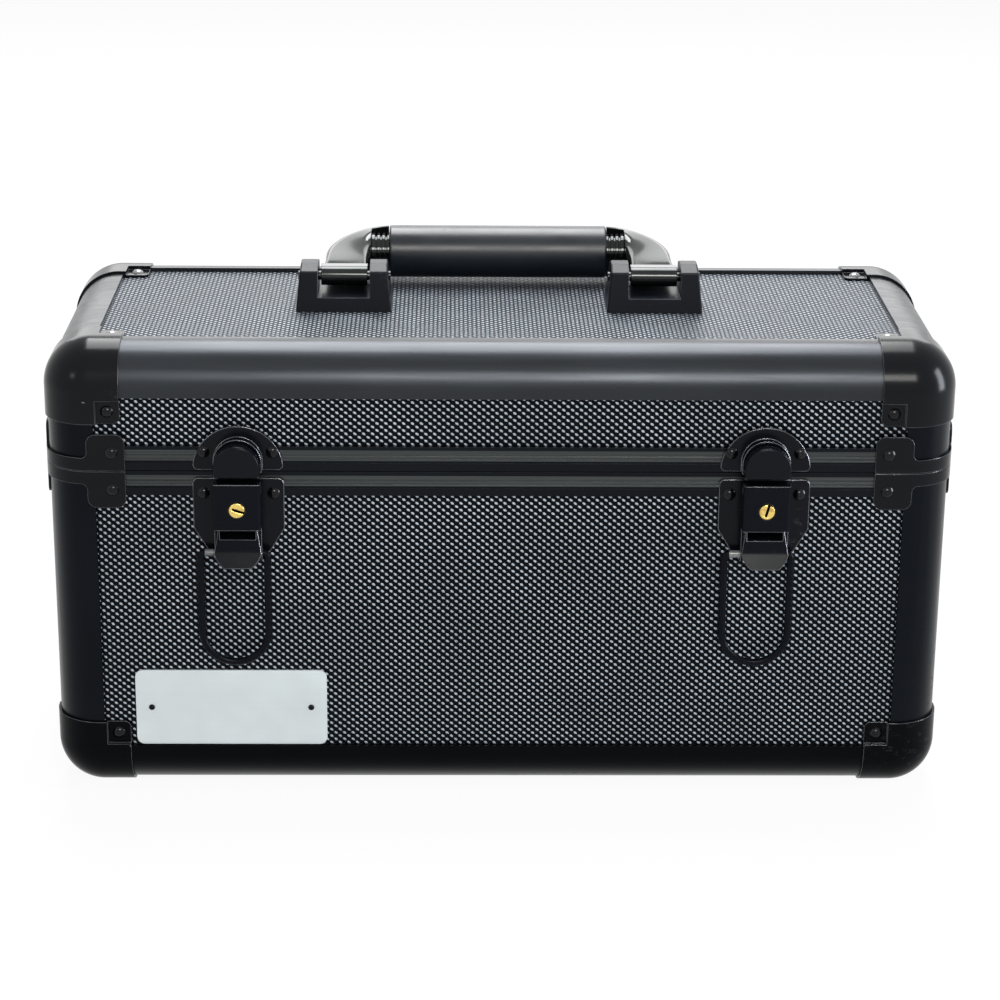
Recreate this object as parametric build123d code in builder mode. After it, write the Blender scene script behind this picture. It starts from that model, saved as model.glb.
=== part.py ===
from build123d import *

import os
from math import cos, radians, sin

# Graded card case: a small framed case in black, with a hinged lid, two key-locked toggle
# latches with wire bails, a folding carry handle, steel corner caps and a foam-lined bay.
# Units are millimetres. +X is the case's right, +Y its back and +Z up. The origin is on the
# surface that the case stands on, under the middle of its frame.
os.makedirs("parts", exist_ok=True)

# Frame, over the flat faces of its extrusions
case_width = 340.0
case_depth = 140.0
case_height = 177.0
lid_height = 46.7
parting_gap = 0.3

# Edge extrusions and the panels in their slots
flange = 18.6
edge_radius = 17.0
panel_step = 1.5
panel_thickness = 3.0
slot_depth = 6.0
slot_play = 0.1
inner_lip = 1.5
butt_gap = 0.1

# Closing extrusions round the opening of base and lid
valance_height = 9.6
rib_start = 3.2
rib_pitch = 1.4
rib_groove = 0.7
rib_depth = 0.5
rib_count = 3
tongue_depth = 4.0
tongue_width = 2.0
tongue_height = 2.2
tongue_lean = 0.5
tongue_play = 0.4

# Corner caps
cap_leg = 28.6
cap_sheet = 1.0
cap_play = 0.05
cap_ear_corner = 2.5
cap_rivet_inset = 23.9

# Braces round the corners at the opening
brace_leg = 30.2
brace_plate = 14.3
brace_band = 5.1
brace_height = 14.3
brace_sheet = 1.0
brace_corner = 3.5
brace_inner_corner = 2.2
brace_rivet_inset = 25.2
brace_rivet_height = 7.2

# Rivets
rivet_head_radius = 2.4
rivet_head_height = 1.2
rivet_shank_radius = 1.5
rivet_bite = 1.2
hole_play = 0.05
plate_play = 0.05

# Latches, with heights measured from the parting
latch_spacing = 196.6
latch_side_shift = 0.4
latch_sheet = 1.2
latch_face = 11.5
plate_width = 34.0
plate_top = 2.4
plate_bottom = 31.6
plate_shoulder = 22.0
plate_foot_width = 22.6
plate_corner = 2.2
plate_rivet_x = 13.1
plate_rivet_drop = 8.2
ear_sheet = 1.2
ear_radius = 2.2
ear_root_top = 7.0
ear_root_bottom = 11.6
hinge_drop = 4.9
hinge_out = 7.6
pivot_radius = 1.3
running_play = 0.05

# Lever of the latch
lever_width = 17.6
lever_wall = 1.2
lever_edge = 1.1
lever_face_sheet = 1.4
lever_top = 1.7
lever_body_bottom = 19.6
lever_end = 33.2
lever_gap = 0.65
lever_arm_front = 7.3
lever_side_play = 0.3
tab_sheet = 1.3
tab_top_width = 14.2
tab_width = 17.6
tab_end = 35.0
tab_reach = 12.4
tab_corner = 6.0
tab_bow_out = 1.6
tab_bow_drop = 1.0
tab_window_width = 13.4
tab_window_drop = 4.2

# Key lock in the lever
key_drop = 11.5
key_radius = 3.05
key_proud = 0.8
key_slot = 1.0
key_slot_start = 1.8
key_slot_depth = 1.4
lock_wall = 0.9
lock_depth = 3.9
cam_reach = 5.6
cam_width = 3.0
cam_sheet = 1.2
cam_gap = 0.3
strike_reach = 1.4
strike_height = 4.4
key_slot_angles = {"left": -18.0, "right": 75.0}

# Wire bail of the latch
bail_radius = 1.4
bail_width = 25.1
bail_length = 44.0
bail_drop = 30.7
bail_out = 4.6
bail_bend = 1.9
bail_tip = 7.0
bail_side_shift = 2.0

# Keeper on the lid, with a grooved boss that the bail hooks over
keeper_radius = 16.9
keeper_bottom = 0.9
keeper_corner = 2.0
keeper_rivet_x = 12.8
keeper_rivet_height = 7.9
boss_root_radius = 9.0
boss_root_top = 13.7
boss_lip_radius = 8.6
boss_lip_top = 13.0
boss_groove_radius = 6.3
boss_groove_top = 11.3
boss_root_reach = 4.9
boss_lip_reach = 8.1
boss_edge = 0.8

# Carry handle on the lid
bracket_spacing = 120.8
bracket_width = 37.2
bracket_depth = 23.6
bracket_middle_y = 1.5
bracket_height = 17.4
bracket_shoulder = 15.4
bracket_lean = 1.8
bracket_shoulder_depth = 18.6
bracket_top_depth = 6.0
bracket_floor = 5.4
bracket_window = 20.2
bracket_edge = 0.8
pivot_height = 11.6
handle_pin_radius = 1.8
handle_pin_proud = 0.6
barrel_radius = 3.8
barrel_length = 18.0
grip_radius = 10.4
grip_length = 87.0
grip_back = 40.0
grip_lift = 0.3
grip_edge = 0.8
grip_gap = 0.3
core_radius = 5.0
core_bite = 10.5
collar_radius = 7.4
collar_length = 7.0
collar_groove = 0.8
collar_groove_depth = 0.6
collar_pitch = 2.0
collar_grooves = 3
arm_neck = 4.0
arm_sections = 5
arm_end_radius = 10.2
arm_edge = 2.4
arm_flat = 0.05
arm_fullness = 0.7
arm_swell = 0.8

# Hinges at the back
hinge_spacing = 190.0
hinge_width = 33.0
hinge_sheet = 1.5
hinge_leaf = 18.0
hinge_axis_out = 5.6
knuckle_radius = 3.8
knuckle_gap = 0.3
hinge_pin_radius = 1.6
hinge_rivet_x = 10.5
hinge_rivet_height = 7.0

# Name plate, left bare
nameplate_width = 73.2
nameplate_height = 30.7
nameplate_sheet = 0.8
nameplate_corner = 3.0
nameplate_inset = 67.4
nameplate_z = 34.3
nameplate_pin_spacing = 61.1
nameplate_pin_radius = 1.1
nameplate_pin_head = 0.5

# Foam that lines the case and holds the cards
foam_play = 0.3
foam_corner = 7.0
floor_foam = 5.0
lid_foam = 8.0
bay_width = 86.0
end_foam = 13.5
foam_below_parting = 4.0
divider_thickness = 8.0
divider_height = 112.0
divider_spacing = 100.0

# Levels and places worked out from the sizes above
frame_bottom = cap_sheet + cap_play
frame_top = frame_bottom + case_height
frame_middle = frame_bottom + case_height / 2
parting = frame_top - lid_height
half_width = case_width / 2
half_depth = case_depth / 2
panel_face = panel_step + slot_play
slot_far = panel_step + panel_thickness + 2 * slot_play
wall_inside = slot_far + inner_lip
panel_inset = flange - slot_depth + slot_play
rail_half_x = half_width - flange - butt_gap
rail_half_y = half_depth - flange - butt_gap
half_gap = parting_gap / 2
ear_face = panel_face - cap_play - cap_sheet
bracket_x = bracket_spacing / 2
hinge_x = hinge_spacing / 2
top_face = frame_top - panel_face
sides = {"left": -1, "right": 1}
latch_places = {side: sx * latch_spacing / 2 + latch_side_shift for side, sx in sides.items()}
hinge_places = [-hinge_x, hinge_x]
depths = {"front": -1, "back": 1}
pivot_z = top_face + plate_play + pivot_height
nameplate_x = nameplate_inset - half_width


def save(part, label):
    """Name a finished piece and write it as its own file."""
    part.label = label
    export_step(part, f"parts/{label}.step")


# Rivets: where they sit, the holes they need and their solids


def cap_rivet_seats(z_edge, up):
    """The rivet seats on the three ears of each cap, at the bottom or the top of the case."""
    seats = []
    z_seat = z_edge - up * ear_face
    z_ear = z_edge - up * cap_rivet_inset
    for sx in sides.values():
        for sy in depths.values():
            x_ear = sx * (half_width - cap_rivet_inset)
            y_ear = sy * (half_depth - cap_rivet_inset)
            seats.append(Plane((x_ear, sy * (half_depth - ear_face), z_ear), z_dir=(0, sy, 0)))
            seats.append(Plane((sx * (half_width - ear_face), y_ear, z_ear), z_dir=(sx, 0, 0)))
            seats.append(Plane((x_ear, y_ear, z_seat), z_dir=(0, 0, up)))
    return seats


def brace_rivet_seats(up):
    """The rivet seats on both plates of each corner brace."""
    seats = []
    z_seat = parting + up * brace_rivet_height
    out = plate_play + brace_sheet
    for sx in sides.values():
        for sy in depths.values():
            x_plate = sx * (half_width - brace_rivet_inset)
            y_plate = sy * (half_depth - brace_rivet_inset)
            seats.append(Plane((x_plate, sy * (half_depth + out), z_seat), z_dir=(0, sy, 0)))
            seats.append(Plane((sx * (half_width + out), y_plate, z_seat), z_dir=(sx, 0, 0)))
    return seats


def pair_seats(centres, spread, side, out, height):
    """Rivet seats on both sides of each fitting's middle, on the front or the back."""
    return [
        Plane((x + k * spread, side * (half_depth + out), parting + height), z_dir=(0, side, 0))
        for x in centres
        for k in (-1, 1)
    ]


def rivet_holes(seats, depth):
    """Round holes through what lies under the rivet seats."""
    with BuildPart() as holes:
        with BuildSketch(*seats):
            Circle(rivet_shank_radius + hole_play)
        extrude(amount=-depth)
        with BuildSketch(*seats):
            Circle(rivet_shank_radius + hole_play)
        extrude(amount=cap_sheet)
    return holes.part


def one_rivet(shank):
    """A domed rivet on the XY plane, with its shank below."""
    rise = rivet_head_height
    dome = (rivet_head_radius ** 2 + rise ** 2) / (2 * rise)
    midway = (rivet_head_radius / 2, rise - dome + (dome ** 2 - rivet_head_radius ** 2 / 4) ** 0.5)
    with BuildPart() as rivet:
        with BuildSketch(Plane.XZ):
            with BuildLine():
                Polyline((0, rise), (0, -shank), (rivet_shank_radius, -shank), (rivet_shank_radius, 0))
                Line((rivet_shank_radius, 0), (rivet_head_radius, 0))
                ThreePointArc((rivet_head_radius, 0), midway, (0, rise))
            make_face()
        revolve(axis=Axis.Z)
    return rivet.part


panel_rivet_length = cap_sheet + cap_play + panel_thickness
plate_rivet_length = latch_sheet + plate_play + rivet_bite
plate_out = plate_play + latch_sheet
hinge_out_face = plate_play + hinge_sheet

base_cap_seats = cap_rivet_seats(frame_bottom, -1)
lid_cap_seats = cap_rivet_seats(frame_top, 1)
base_plate_seats = brace_rivet_seats(-1)
base_plate_seats += pair_seats(latch_places.values(), plate_rivet_x, -1, plate_out, -plate_rivet_drop)
base_plate_seats += pair_seats(hinge_places, hinge_rivet_x, 1, hinge_out_face, -hinge_rivet_height)
lid_plate_seats = brace_rivet_seats(1)
lid_plate_seats += pair_seats(latch_places.values(), keeper_rivet_x, -1, plate_out, keeper_rivet_height)
lid_plate_seats += pair_seats(hinge_places, hinge_rivet_x, 1, hinge_out_face, hinge_rivet_height)

base_cap_holes = rivet_holes(base_cap_seats, 2 * panel_rivet_length)
lid_cap_holes = rivet_holes(lid_cap_seats, 2 * panel_rivet_length)
base_plate_holes = rivet_holes(base_plate_seats, plate_rivet_length + hinge_sheet)
lid_plate_holes = rivet_holes(lid_plate_seats, plate_rivet_length + hinge_sheet)

for body, cap_seats, plate_seats in (
    ("base", base_cap_seats, base_plate_seats),
    ("lid", lid_cap_seats, lid_plate_seats),
):
    with BuildPart() as rivets:
        with Locations(*[seat.location for seat in cap_seats]):
            add(one_rivet(panel_rivet_length))
        with Locations(*[seat.location for seat in plate_seats]):
            add(one_rivet(plate_rivet_length))
    save(rivets.part, f"{body}_rivets")


# Panels, each held in the slots of the extrusions round it


def flat_panel(plane, across, along, holes):
    """A rectangular panel whose outer face lies on the plane, which faces out."""
    with BuildPart() as panel:
        with BuildSketch(plane):
            Rectangle(across, along)
        extrude(amount=-panel_thickness)
        add(holes, mode=Mode.SUBTRACT)
    return panel.part


panel_across = case_width - 2 * panel_inset
panel_deep = case_depth - 2 * panel_inset
base_wall_low = frame_bottom + panel_inset
base_wall_high = parting - valance_height + slot_depth - slot_play
lid_wall_low = parting + valance_height - slot_depth + slot_play
lid_wall_high = frame_top - panel_inset

bottom_plane = Plane((0, 0, frame_bottom + panel_face), x_dir=(1, 0, 0), z_dir=(0, 0, -1))
save(flat_panel(bottom_plane, panel_across, panel_deep, base_cap_holes), "base_bottom_panel")
top_plane = Plane((0, 0, top_face), x_dir=(1, 0, 0), z_dir=(0, 0, 1))
save(flat_panel(top_plane, panel_across, panel_deep, lid_cap_holes), "lid_top_panel")

for body, low, high, holes in (
    ("base", base_wall_low, base_wall_high, base_cap_holes),
    ("lid", lid_wall_low, lid_wall_high, lid_cap_holes),
):
    middle = (low + high) / 2
    for place, sy in depths.items():
        plane = Plane((0, sy * (half_depth - panel_face), middle), x_dir=(1, 0, 0), z_dir=(0, sy, 0))
        save(flat_panel(plane, panel_across, high - low, holes), f"{body}_{place}_panel")
    for place, sx in sides.items():
        plane = Plane((sx * (half_width - panel_face), 0, middle), x_dir=(0, 1, 0), z_dir=(sx, 0, 0))
        save(flat_panel(plane, panel_deep, high - low, holes), f"{body}_{place}_panel")


# Edge extrusions: rounded outside, with a slot for a panel in each leg


def edge_section(plane):
    """The extrusion's section, with its outer corner at the plane's origin."""
    root = flange - slot_depth
    with BuildSketch(plane) as section:
        with BuildLine():
            Polyline((edge_radius, 0), (flange, 0), (flange, panel_step), (root, panel_step))
            Polyline((root, panel_step), (root, slot_far), (flange, slot_far), (flange, wall_inside))
            Polyline((flange, wall_inside), (wall_inside, wall_inside), (wall_inside, flange))
            Polyline((wall_inside, flange), (slot_far, flange), (slot_far, root), (panel_step, root))
            Polyline((panel_step, root), (panel_step, flange), (0, flange), (0, edge_radius))
            CenterArc((edge_radius, edge_radius), edge_radius, 180, 90)
        make_face()
    return section.sketch


def corner_posts(low, high):
    """The four upright extrusions between two heights."""
    with BuildPart() as posts:
        for sx in sides.values():
            for sy in depths.values():
                x_dir = (-sx, 0, 0) if sx * sy > 0 else (0, -sy, 0)
                corner = Plane((sx * half_width, sy * half_depth, low), x_dir=x_dir, z_dir=(0, 0, 1))
                extrude(edge_section(corner), amount=high - low)
    return posts.part


def edge_rails(z_edge, up):
    """The four level extrusions round the bottom or the top."""
    with BuildPart() as rails:
        for sy in depths.values():
            corner = Plane((0, sy * half_depth, z_edge), x_dir=(0, -sy, 0), z_dir=(up * sy, 0, 0))
            extrude(edge_section(corner), amount=rail_half_x, both=True)
        for sx in sides.values():
            corner = Plane((sx * half_width, 0, z_edge), x_dir=(-sx, 0, 0), z_dir=(0, -up * sx, 0))
            extrude(edge_section(corner), amount=rail_half_y, both=True)
    return rails.part


save(corner_posts(frame_bottom + flange + butt_gap, parting - half_gap), "base_corner_posts")
save(corner_posts(parting + half_gap, frame_top - flange - butt_gap), "lid_corner_posts")
save(edge_rails(frame_bottom, -1), "base_bottom_rails")
save(edge_rails(frame_top, 1), "lid_top_rails")


# Closing extrusions: ribbed outside, slotted for the wall panel, with a tongue or its groove


def valance_section(plane, up):
    """The section of a closing extrusion, from its outer face inwards and from the parting."""
    near = tongue_depth - tongue_width / 2
    far = tongue_depth + tongue_width / 2
    with BuildSketch(plane) as section:
        with Locations((wall_inside / 2, up * (valance_height + half_gap) / 2)):
            Rectangle(wall_inside, valance_height - half_gap)
        with Locations(((panel_step + slot_far) / 2, up * (valance_height - slot_depth / 2))):
            Rectangle(slot_far - panel_step, slot_depth, mode=Mode.SUBTRACT)
        for i in range(rib_count):
            height = rib_start + rib_groove / 2 + i * rib_pitch
            with Locations((rib_depth / 2, up * height)):
                Rectangle(rib_depth, rib_groove, mode=Mode.SUBTRACT)
        if up < 0:
            with BuildLine():
                Polyline(
                    (near, -half_gap),
                    (near + tongue_lean, tongue_height),
                    (far - tongue_lean, tongue_height),
                    (far, -half_gap),
                    close=True,
                )
            make_face()
        else:
            groove_width = tongue_width + 2 * tongue_play
            groove_top = tongue_height + tongue_play
            with Locations((tongue_depth, groove_top / 2)):
                Rectangle(groove_width, groove_top, mode=Mode.SUBTRACT)
    return section.sketch


def valance_rails(up, holes):
    """The four closing extrusions of the lid or the base."""
    with BuildPart() as rails:
        for sy in depths.values():
            edge = Plane((0, sy * half_depth, parting), x_dir=(0, -sy, 0), z_dir=(-sy, 0, 0))
            extrude(valance_section(edge, up), amount=rail_half_x, both=True)
        for sx in sides.values():
            edge = Plane((sx * half_width, 0, parting), x_dir=(-sx, 0, 0), z_dir=(0, sx, 0))
            extrude(valance_section(edge, up), amount=rail_half_y, both=True)
        add(holes, mode=Mode.SUBTRACT)
    return rails.part


save(valance_rails(-1, base_plate_holes), "base_valance_rails")
save(valance_rails(1, lid_plate_holes), "lid_valance_rails")


# Corner caps: pressed steel over three edges, with an ear down on each panel

cap_corner = (-half_width, -half_depth, frame_bottom)
cap_faces = [
    Plane(cap_corner, x_dir=(1, 0, 0), z_dir=(0, -1, 0)),
    Plane(cap_corner, x_dir=(0, 0, 1), z_dir=(-1, 0, 0)),
    Plane(cap_corner, x_dir=(0, 1, 0), z_dir=(0, 0, -1)),
]


def corner_block(grow, reach):
    """The frame's rounded corner at the bottom, front and left, grown outwards."""
    low = [value - grow for value in cap_corner]
    with BuildPart() as block:
        with BuildSketch(Plane.XY.offset(low[2])):
            with Locations((low[0], low[1])):
                Rectangle(reach + grow, reach + grow, align=(Align.MIN, Align.MIN))
        extrude(amount=reach + grow)
        fillet(block.edges().sort_by_distance(Vector(*low))[:3], radius=edge_radius + grow)
    return block.part


def cap_hollow():
    """The space inside a cap, with the steps where its ears come down to the panels."""
    start = flange + cap_play
    reach = cap_leg + cap_sheet
    with BuildPart() as hollow:
        add(corner_block(cap_play, reach))
        with BuildSketch(*[face.offset(cap_play) for face in cap_faces]):
            with Locations((start, start)):
                Rectangle(reach, reach, align=(Align.MIN, Align.MIN))
        extrude(amount=-panel_face, mode=Mode.SUBTRACT)
    return hollow.part


def corner_cap():
    """One cap, at the bottom, front and left."""
    start = flange + cap_play + cap_sheet
    outside = cap_play + cap_sheet
    ear_corner = cap_leg
    with BuildPart() as cap:
        add(corner_block(outside, cap_leg))
        add(cap_hollow(), mode=Mode.SUBTRACT)
        with BuildSketch(*[face.offset(outside) for face in cap_faces]):
            with Locations((start, start)):
                Rectangle(cap_leg, cap_leg, align=(Align.MIN, Align.MIN))
        extrude(amount=-(outside + ear_face), mode=Mode.SUBTRACT)
        for face in cap_faces:
            spot = face.offset(-ear_face).from_local_coords(Vector(ear_corner, ear_corner, -cap_sheet / 2))
            fillet(cap.edges().sort_by_distance(spot)[:1], radius=cap_ear_corner)
        add(base_cap_holes, mode=Mode.SUBTRACT)
    return cap.part


front_left_cap = corner_cap()
for body in ("base", "lid"):
    for place, sy in depths.items():
        for side, sx in sides.items():
            with BuildPart() as cap:
                add(front_left_cap)
                if sx > 0:
                    mirror(about=Plane.YZ, mode=Mode.REPLACE)
                if sy > 0:
                    mirror(about=Plane.XZ, mode=Mode.REPLACE)
                if body == "lid":
                    mirror(about=Plane.XY.offset(frame_middle), mode=Mode.REPLACE)
            save(cap.part, f"{body}_cap_{place}_{side}")


# Braces: a band round each corner at the opening, with a plate at both ends


brace_bend = brace_leg - brace_plate


def brace_outline(plane):
    """The brace as seen square to one face, from the case's corner and from the parting."""
    with BuildSketch(plane) as outline:
        with BuildLine():
            Polyline(
                (-brace_leg, half_gap),
                (brace_leg, half_gap),
                (brace_leg, brace_height),
                (brace_bend, brace_height),
                (brace_bend, brace_band),
                (-brace_leg, brace_band),
                close=True,
            )
        make_face()
        fillet(outline.vertices().group_by(Axis.Y)[-1], radius=brace_corner)
        fillet(outline.vertices().group_by(Axis.Y)[1].sort_by(Axis.X)[-1], radius=brace_inner_corner)
    return outline.sketch


def brace_form():
    """Both views of the brace as one block, which trims the bent sheet to shape."""
    front = Plane((-half_width, -half_depth, parting), x_dir=(1, 0, 0), z_dir=(0, -1, 0))
    left = Plane((-half_width, -half_depth, parting), x_dir=(0, 1, 0), z_dir=(1, 0, 0))
    with BuildPart() as form:
        extrude(brace_outline(front), amount=brace_bend, both=True)
        extrude(brace_outline(left), amount=brace_bend, both=True)
    return form.part


def corner_braces(up, holes):
    """The four braces of the lid or the base."""
    outside = plate_play + brace_sheet
    trim = brace_form()
    with BuildPart() as braces:
        with BuildSketch(Plane.XY.offset(parting + half_gap)) as ring:
            for grow, mode in ((outside, Mode.ADD), (plate_play, Mode.SUBTRACT)):
                with Locations((-half_width - grow, -half_depth - grow)):
                    RectangleRounded(
                        case_width + 2 * grow,
                        case_depth + 2 * grow,
                        edge_radius + grow,
                        align=(Align.MIN, Align.MIN),
                        mode=mode,
                    )
            with Locations((-half_width - outside, -half_depth - outside)):
                Rectangle(
                    brace_leg + outside,
                    brace_leg + outside,
                    align=(Align.MIN, Align.MIN),
                    mode=Mode.INTERSECT,
                )
        extrude(amount=brace_height - half_gap)
        add(trim, mode=Mode.INTERSECT)
        mirror(about=Plane.YZ)
        mirror(about=Plane.XZ)
        if up < 0:
            mirror(about=Plane.XY.offset(parting), mode=Mode.REPLACE)
        add(holes, mode=Mode.SUBTRACT)
    return braces.part


save(corner_braces(-1, base_plate_holes), "base_corner_braces")
save(corner_braces(1, lid_plate_holes), "lid_corner_braces")


# Latches: a key-locked lever pivots on a riveted plate and carries a wire bail, which swings
# up and hooks over the grooved boss of the keeper on the lid

face_y = half_depth + latch_face
plate_front = half_depth + plate_play + latch_sheet
axis_y = -(half_depth + hinge_out)
axis_z = parting - hinge_drop
bail_y = -(half_depth + bail_out)
bail_z = parting - bail_drop
key_z = parting - key_drop
lever_half = lever_width / 2
lever_inside = lever_half - lever_wall
ear_outside = lever_inside - lever_side_play
lever_inner_face = face_y - lever_face_sheet
lever_back = plate_front + lever_gap
lock_cam_front = lever_inner_face - lock_depth - half_depth - cam_gap - cam_sheet


def front_plane(x, out):
    """A plane that faces forwards, with its origin at the parting."""
    return Plane((x, -out, parting), x_dir=(1, 0, 0), z_dir=(0, -1, 0))


def latch_plate(x):
    """The riveted plate, with the ears for the lever's pin and the strike for the lock's cam."""
    with BuildPart() as plate:
        with BuildSketch(front_plane(x, half_depth + plate_play)) as outline:
            with BuildLine():
                Polyline(
                    (-plate_width / 2, -plate_top),
                    (plate_width / 2, -plate_top),
                    (plate_width / 2, -plate_shoulder),
                    (plate_foot_width / 2, -plate_bottom),
                    (-plate_foot_width / 2, -plate_bottom),
                    (-plate_width / 2, -plate_shoulder),
                    close=True,
                )
            make_face()
            fillet(outline.vertices(), radius=plate_corner)
        extrude(amount=latch_sheet)
        root = (ear_root_top + ear_root_bottom) / 2
        for side in (-1, 1):
            with BuildSketch(Plane.YZ.offset(x + side * ear_outside)) as ear:
                with Locations((axis_y, axis_z)):
                    Circle(ear_radius)
                with Locations((-plate_front + latch_sheet / 2, parting - root)):
                    Rectangle(latch_sheet, ear_root_bottom - ear_root_top)
                make_hull()
            extrude(amount=-side * ear_sheet)
        strike_x = x - ear_outside
        strike_front = half_depth + lock_cam_front + cam_sheet + cam_gap
        with BuildSketch(Plane.XY.offset(key_z - strike_height / 2)):
            with Locations((strike_x, -plate_front)):
                Rectangle(ear_sheet, strike_front + cam_sheet - plate_front, align=(Align.MIN, Align.MAX))
            with Locations((strike_x, -strike_front)):
                Rectangle(ear_sheet + strike_reach, cam_sheet, align=(Align.MIN, Align.MAX))
        extrude(amount=strike_height)
        with BuildSketch(Plane.YZ.offset(x)):
            with Locations((axis_y, axis_z)):
                Circle(pivot_radius + running_play)
        extrude(amount=lever_half, both=True, mode=Mode.SUBTRACT)
        add(base_plate_holes, mode=Mode.SUBTRACT)
    return plate.part


def finger_tab(x):
    """The lever's curled finger tab, wider and rounded at its lower end."""
    start = lever_arm_front + tab_sheet / 2
    bow_drop = (lever_body_bottom + tab_end) / 2 + tab_bow_drop
    with BuildPart() as tab:
        with BuildSketch(Plane.YZ.offset(x)):
            with BuildLine() as curl:
                FilletPolyline(
                    (-half_depth - start, parting - lever_body_bottom + tab_sheet),
                    (-half_depth - start - tab_bow_out, parting - bow_drop),
                    (-half_depth - tab_reach, parting - tab_end + tab_sheet / 2),
                    radius=tab_corner,
                )
            trace(line_width=tab_sheet)
        extrude(amount=tab_width, both=True)
        with BuildSketch(front_plane(x, half_depth)) as outline:
            with BuildLine():
                Line((-tab_top_width / 2, 0), (tab_top_width / 2, 0))
                Polyline(
                    (tab_top_width / 2, 0),
                    (tab_top_width / 2, -lever_body_bottom),
                    (tab_width / 2, -tab_end + tab_corner),
                )
                ThreePointArc(
                    (tab_width / 2, -tab_end + tab_corner),
                    (0, -tab_end - tab_sheet / 2),
                    (-tab_width / 2, -tab_end + tab_corner),
                )
                Polyline(
                    (-tab_width / 2, -tab_end + tab_corner),
                    (-tab_top_width / 2, -lever_body_bottom),
                    (-tab_top_width / 2, 0),
                )
            make_face()
        extrude(amount=2 * latch_face, mode=Mode.INTERSECT)
        with BuildSketch(front_plane(x, half_depth)):
            with Locations((0, -lever_body_bottom)):
                Rectangle(tab_window_width, tab_window_drop, align=(Align.CENTER, Align.MAX))
        extrude(amount=2 * latch_face, mode=Mode.SUBTRACT)
    return tab.part


def latch_lever(x):
    """The lever: a folded channel with the lock's housing, two arms and the finger tab."""
    arm_front = half_depth + lever_arm_front
    with BuildPart() as lever:
        with BuildSketch(Plane.YZ.offset(x)):
            with BuildLine():
                Polyline(
                    (-face_y, parting - lever_top),
                    (axis_y, parting - lever_top),
                    (-lever_back, axis_z - pivot_radius),
                    (-lever_back, parting - lever_end),
                    (-arm_front, parting - lever_end),
                    (-arm_front, parting - lever_body_bottom),
                    (-face_y, parting - lever_body_bottom),
                    close=True,
                )
            make_face()
        extrude(amount=lever_half, both=True)
        front_edges = lever.edges().filter_by(Axis.Z).group_by(Axis.Y)[0]
        fillet(front_edges, radius=lever_edge)
        end_edges = lever.edges().filter_by(Axis.X).group_by(Axis.Z)[0]
        fillet(end_edges, radius=pivot_radius)
        with BuildSketch(Plane.YZ.offset(x)):
            with Locations((-lever_inner_face, parting - lever_body_bottom + lever_wall)):
                Rectangle(latch_face, 2 * latch_face + lever_body_bottom, align=(Align.MIN, Align.MIN))
            with Locations((-arm_front - tab_sheet, parting - lever_body_bottom)):
                Rectangle(latch_face, lever_end, align=(Align.MIN, Align.MAX))
        extrude(amount=lever_inside, both=True, mode=Mode.SUBTRACT)
        with BuildSketch(front_plane(x, lever_inner_face - lock_depth)):
            with Locations((0, -key_drop)):
                Circle(key_radius + running_play + lock_wall)
        extrude(amount=lock_depth)
        add(finger_tab(x))
        with BuildSketch(front_plane(x, half_depth)):
            with Locations((0, -key_drop)):
                Circle(key_radius + running_play)
        extrude(amount=2 * latch_face, mode=Mode.SUBTRACT)
        with BuildSketch(Plane.YZ.offset(x)):
            with Locations((axis_y, axis_z)):
                Circle(pivot_radius + running_play)
            with Locations((bail_y, bail_z)):
                Circle(bail_radius + running_play)
        extrude(amount=lever_half, both=True, mode=Mode.SUBTRACT)
    return lever.part


def key_plug(x, slot_angle):
    """The brass plug, slotted across to its rim, with the cam on its inner end."""
    cam_back = half_depth + lock_cam_front
    face = face_y + key_proud
    with BuildPart() as plug:
        with BuildSketch(front_plane(x, cam_back)):
            with Locations((0, -key_drop)):
                Circle(key_radius)
        extrude(amount=face - cam_back)
        chamfer(plug.edges().sort_by(Axis.Y)[:1], length=key_proud / 2)
        with BuildSketch(front_plane(x, cam_back)):
            with Locations((0, -key_drop)):
                Rectangle(cam_width, cam_reach, align=(Align.CENTER, Align.MAX))
        extrude(amount=cam_sheet)
        with BuildSketch(front_plane(x, face)):
            with Locations(Location((0, -key_drop), slot_angle)):
                with Locations((-key_slot_start, 0)):
                    Rectangle(2 * key_radius, key_slot, align=(Align.MIN, Align.CENTER))
        extrude(amount=-key_slot_depth, mode=Mode.SUBTRACT)
    return plug.part


def wire_bail(x):
    """The wire bail, hanging from the lever by its two bent-in ends."""
    half = bail_width / 2
    drop = bail_length - half
    hang = Plane((x - bail_side_shift, bail_y, bail_z), x_dir=(1, 0, 0), z_dir=(0, -1, 0))
    with BuildPart() as bail:
        with BuildLine(hang) as path:
            Line((-half + bail_tip, 0), (-half + bail_bend, 0))
            CenterArc((-half + bail_bend, -bail_bend), bail_bend, 90, 90)
            Line((-half, -bail_bend), (-half, -drop))
            CenterArc((0, -drop), half, 180, 180)
            Line((half, -drop), (half, -bail_bend))
            CenterArc((half - bail_bend, -bail_bend), bail_bend, 0, 90)
            Line((half - bail_bend, 0), (half - bail_tip, 0))
        with BuildSketch(Plane(path.line @ 0, z_dir=path.line % 0)):
            Circle(bail_radius)
        sweep()
    return bail.part


def boss_section(plane, radius, top):
    """The boss of the keeper, flat below and round above."""
    with BuildSketch(plane) as section:
        with Locations((0, keeper_bottom)):
            Rectangle(2 * radius, top - radius - keeper_bottom, align=(Align.CENTER, Align.MIN))
        with Locations((0, top - radius)):
            Circle(radius)
        with Locations((0, keeper_bottom)):
            Rectangle(4 * radius, 4 * radius, align=(Align.CENTER, Align.MAX), mode=Mode.SUBTRACT)
    return section.sketch


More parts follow.
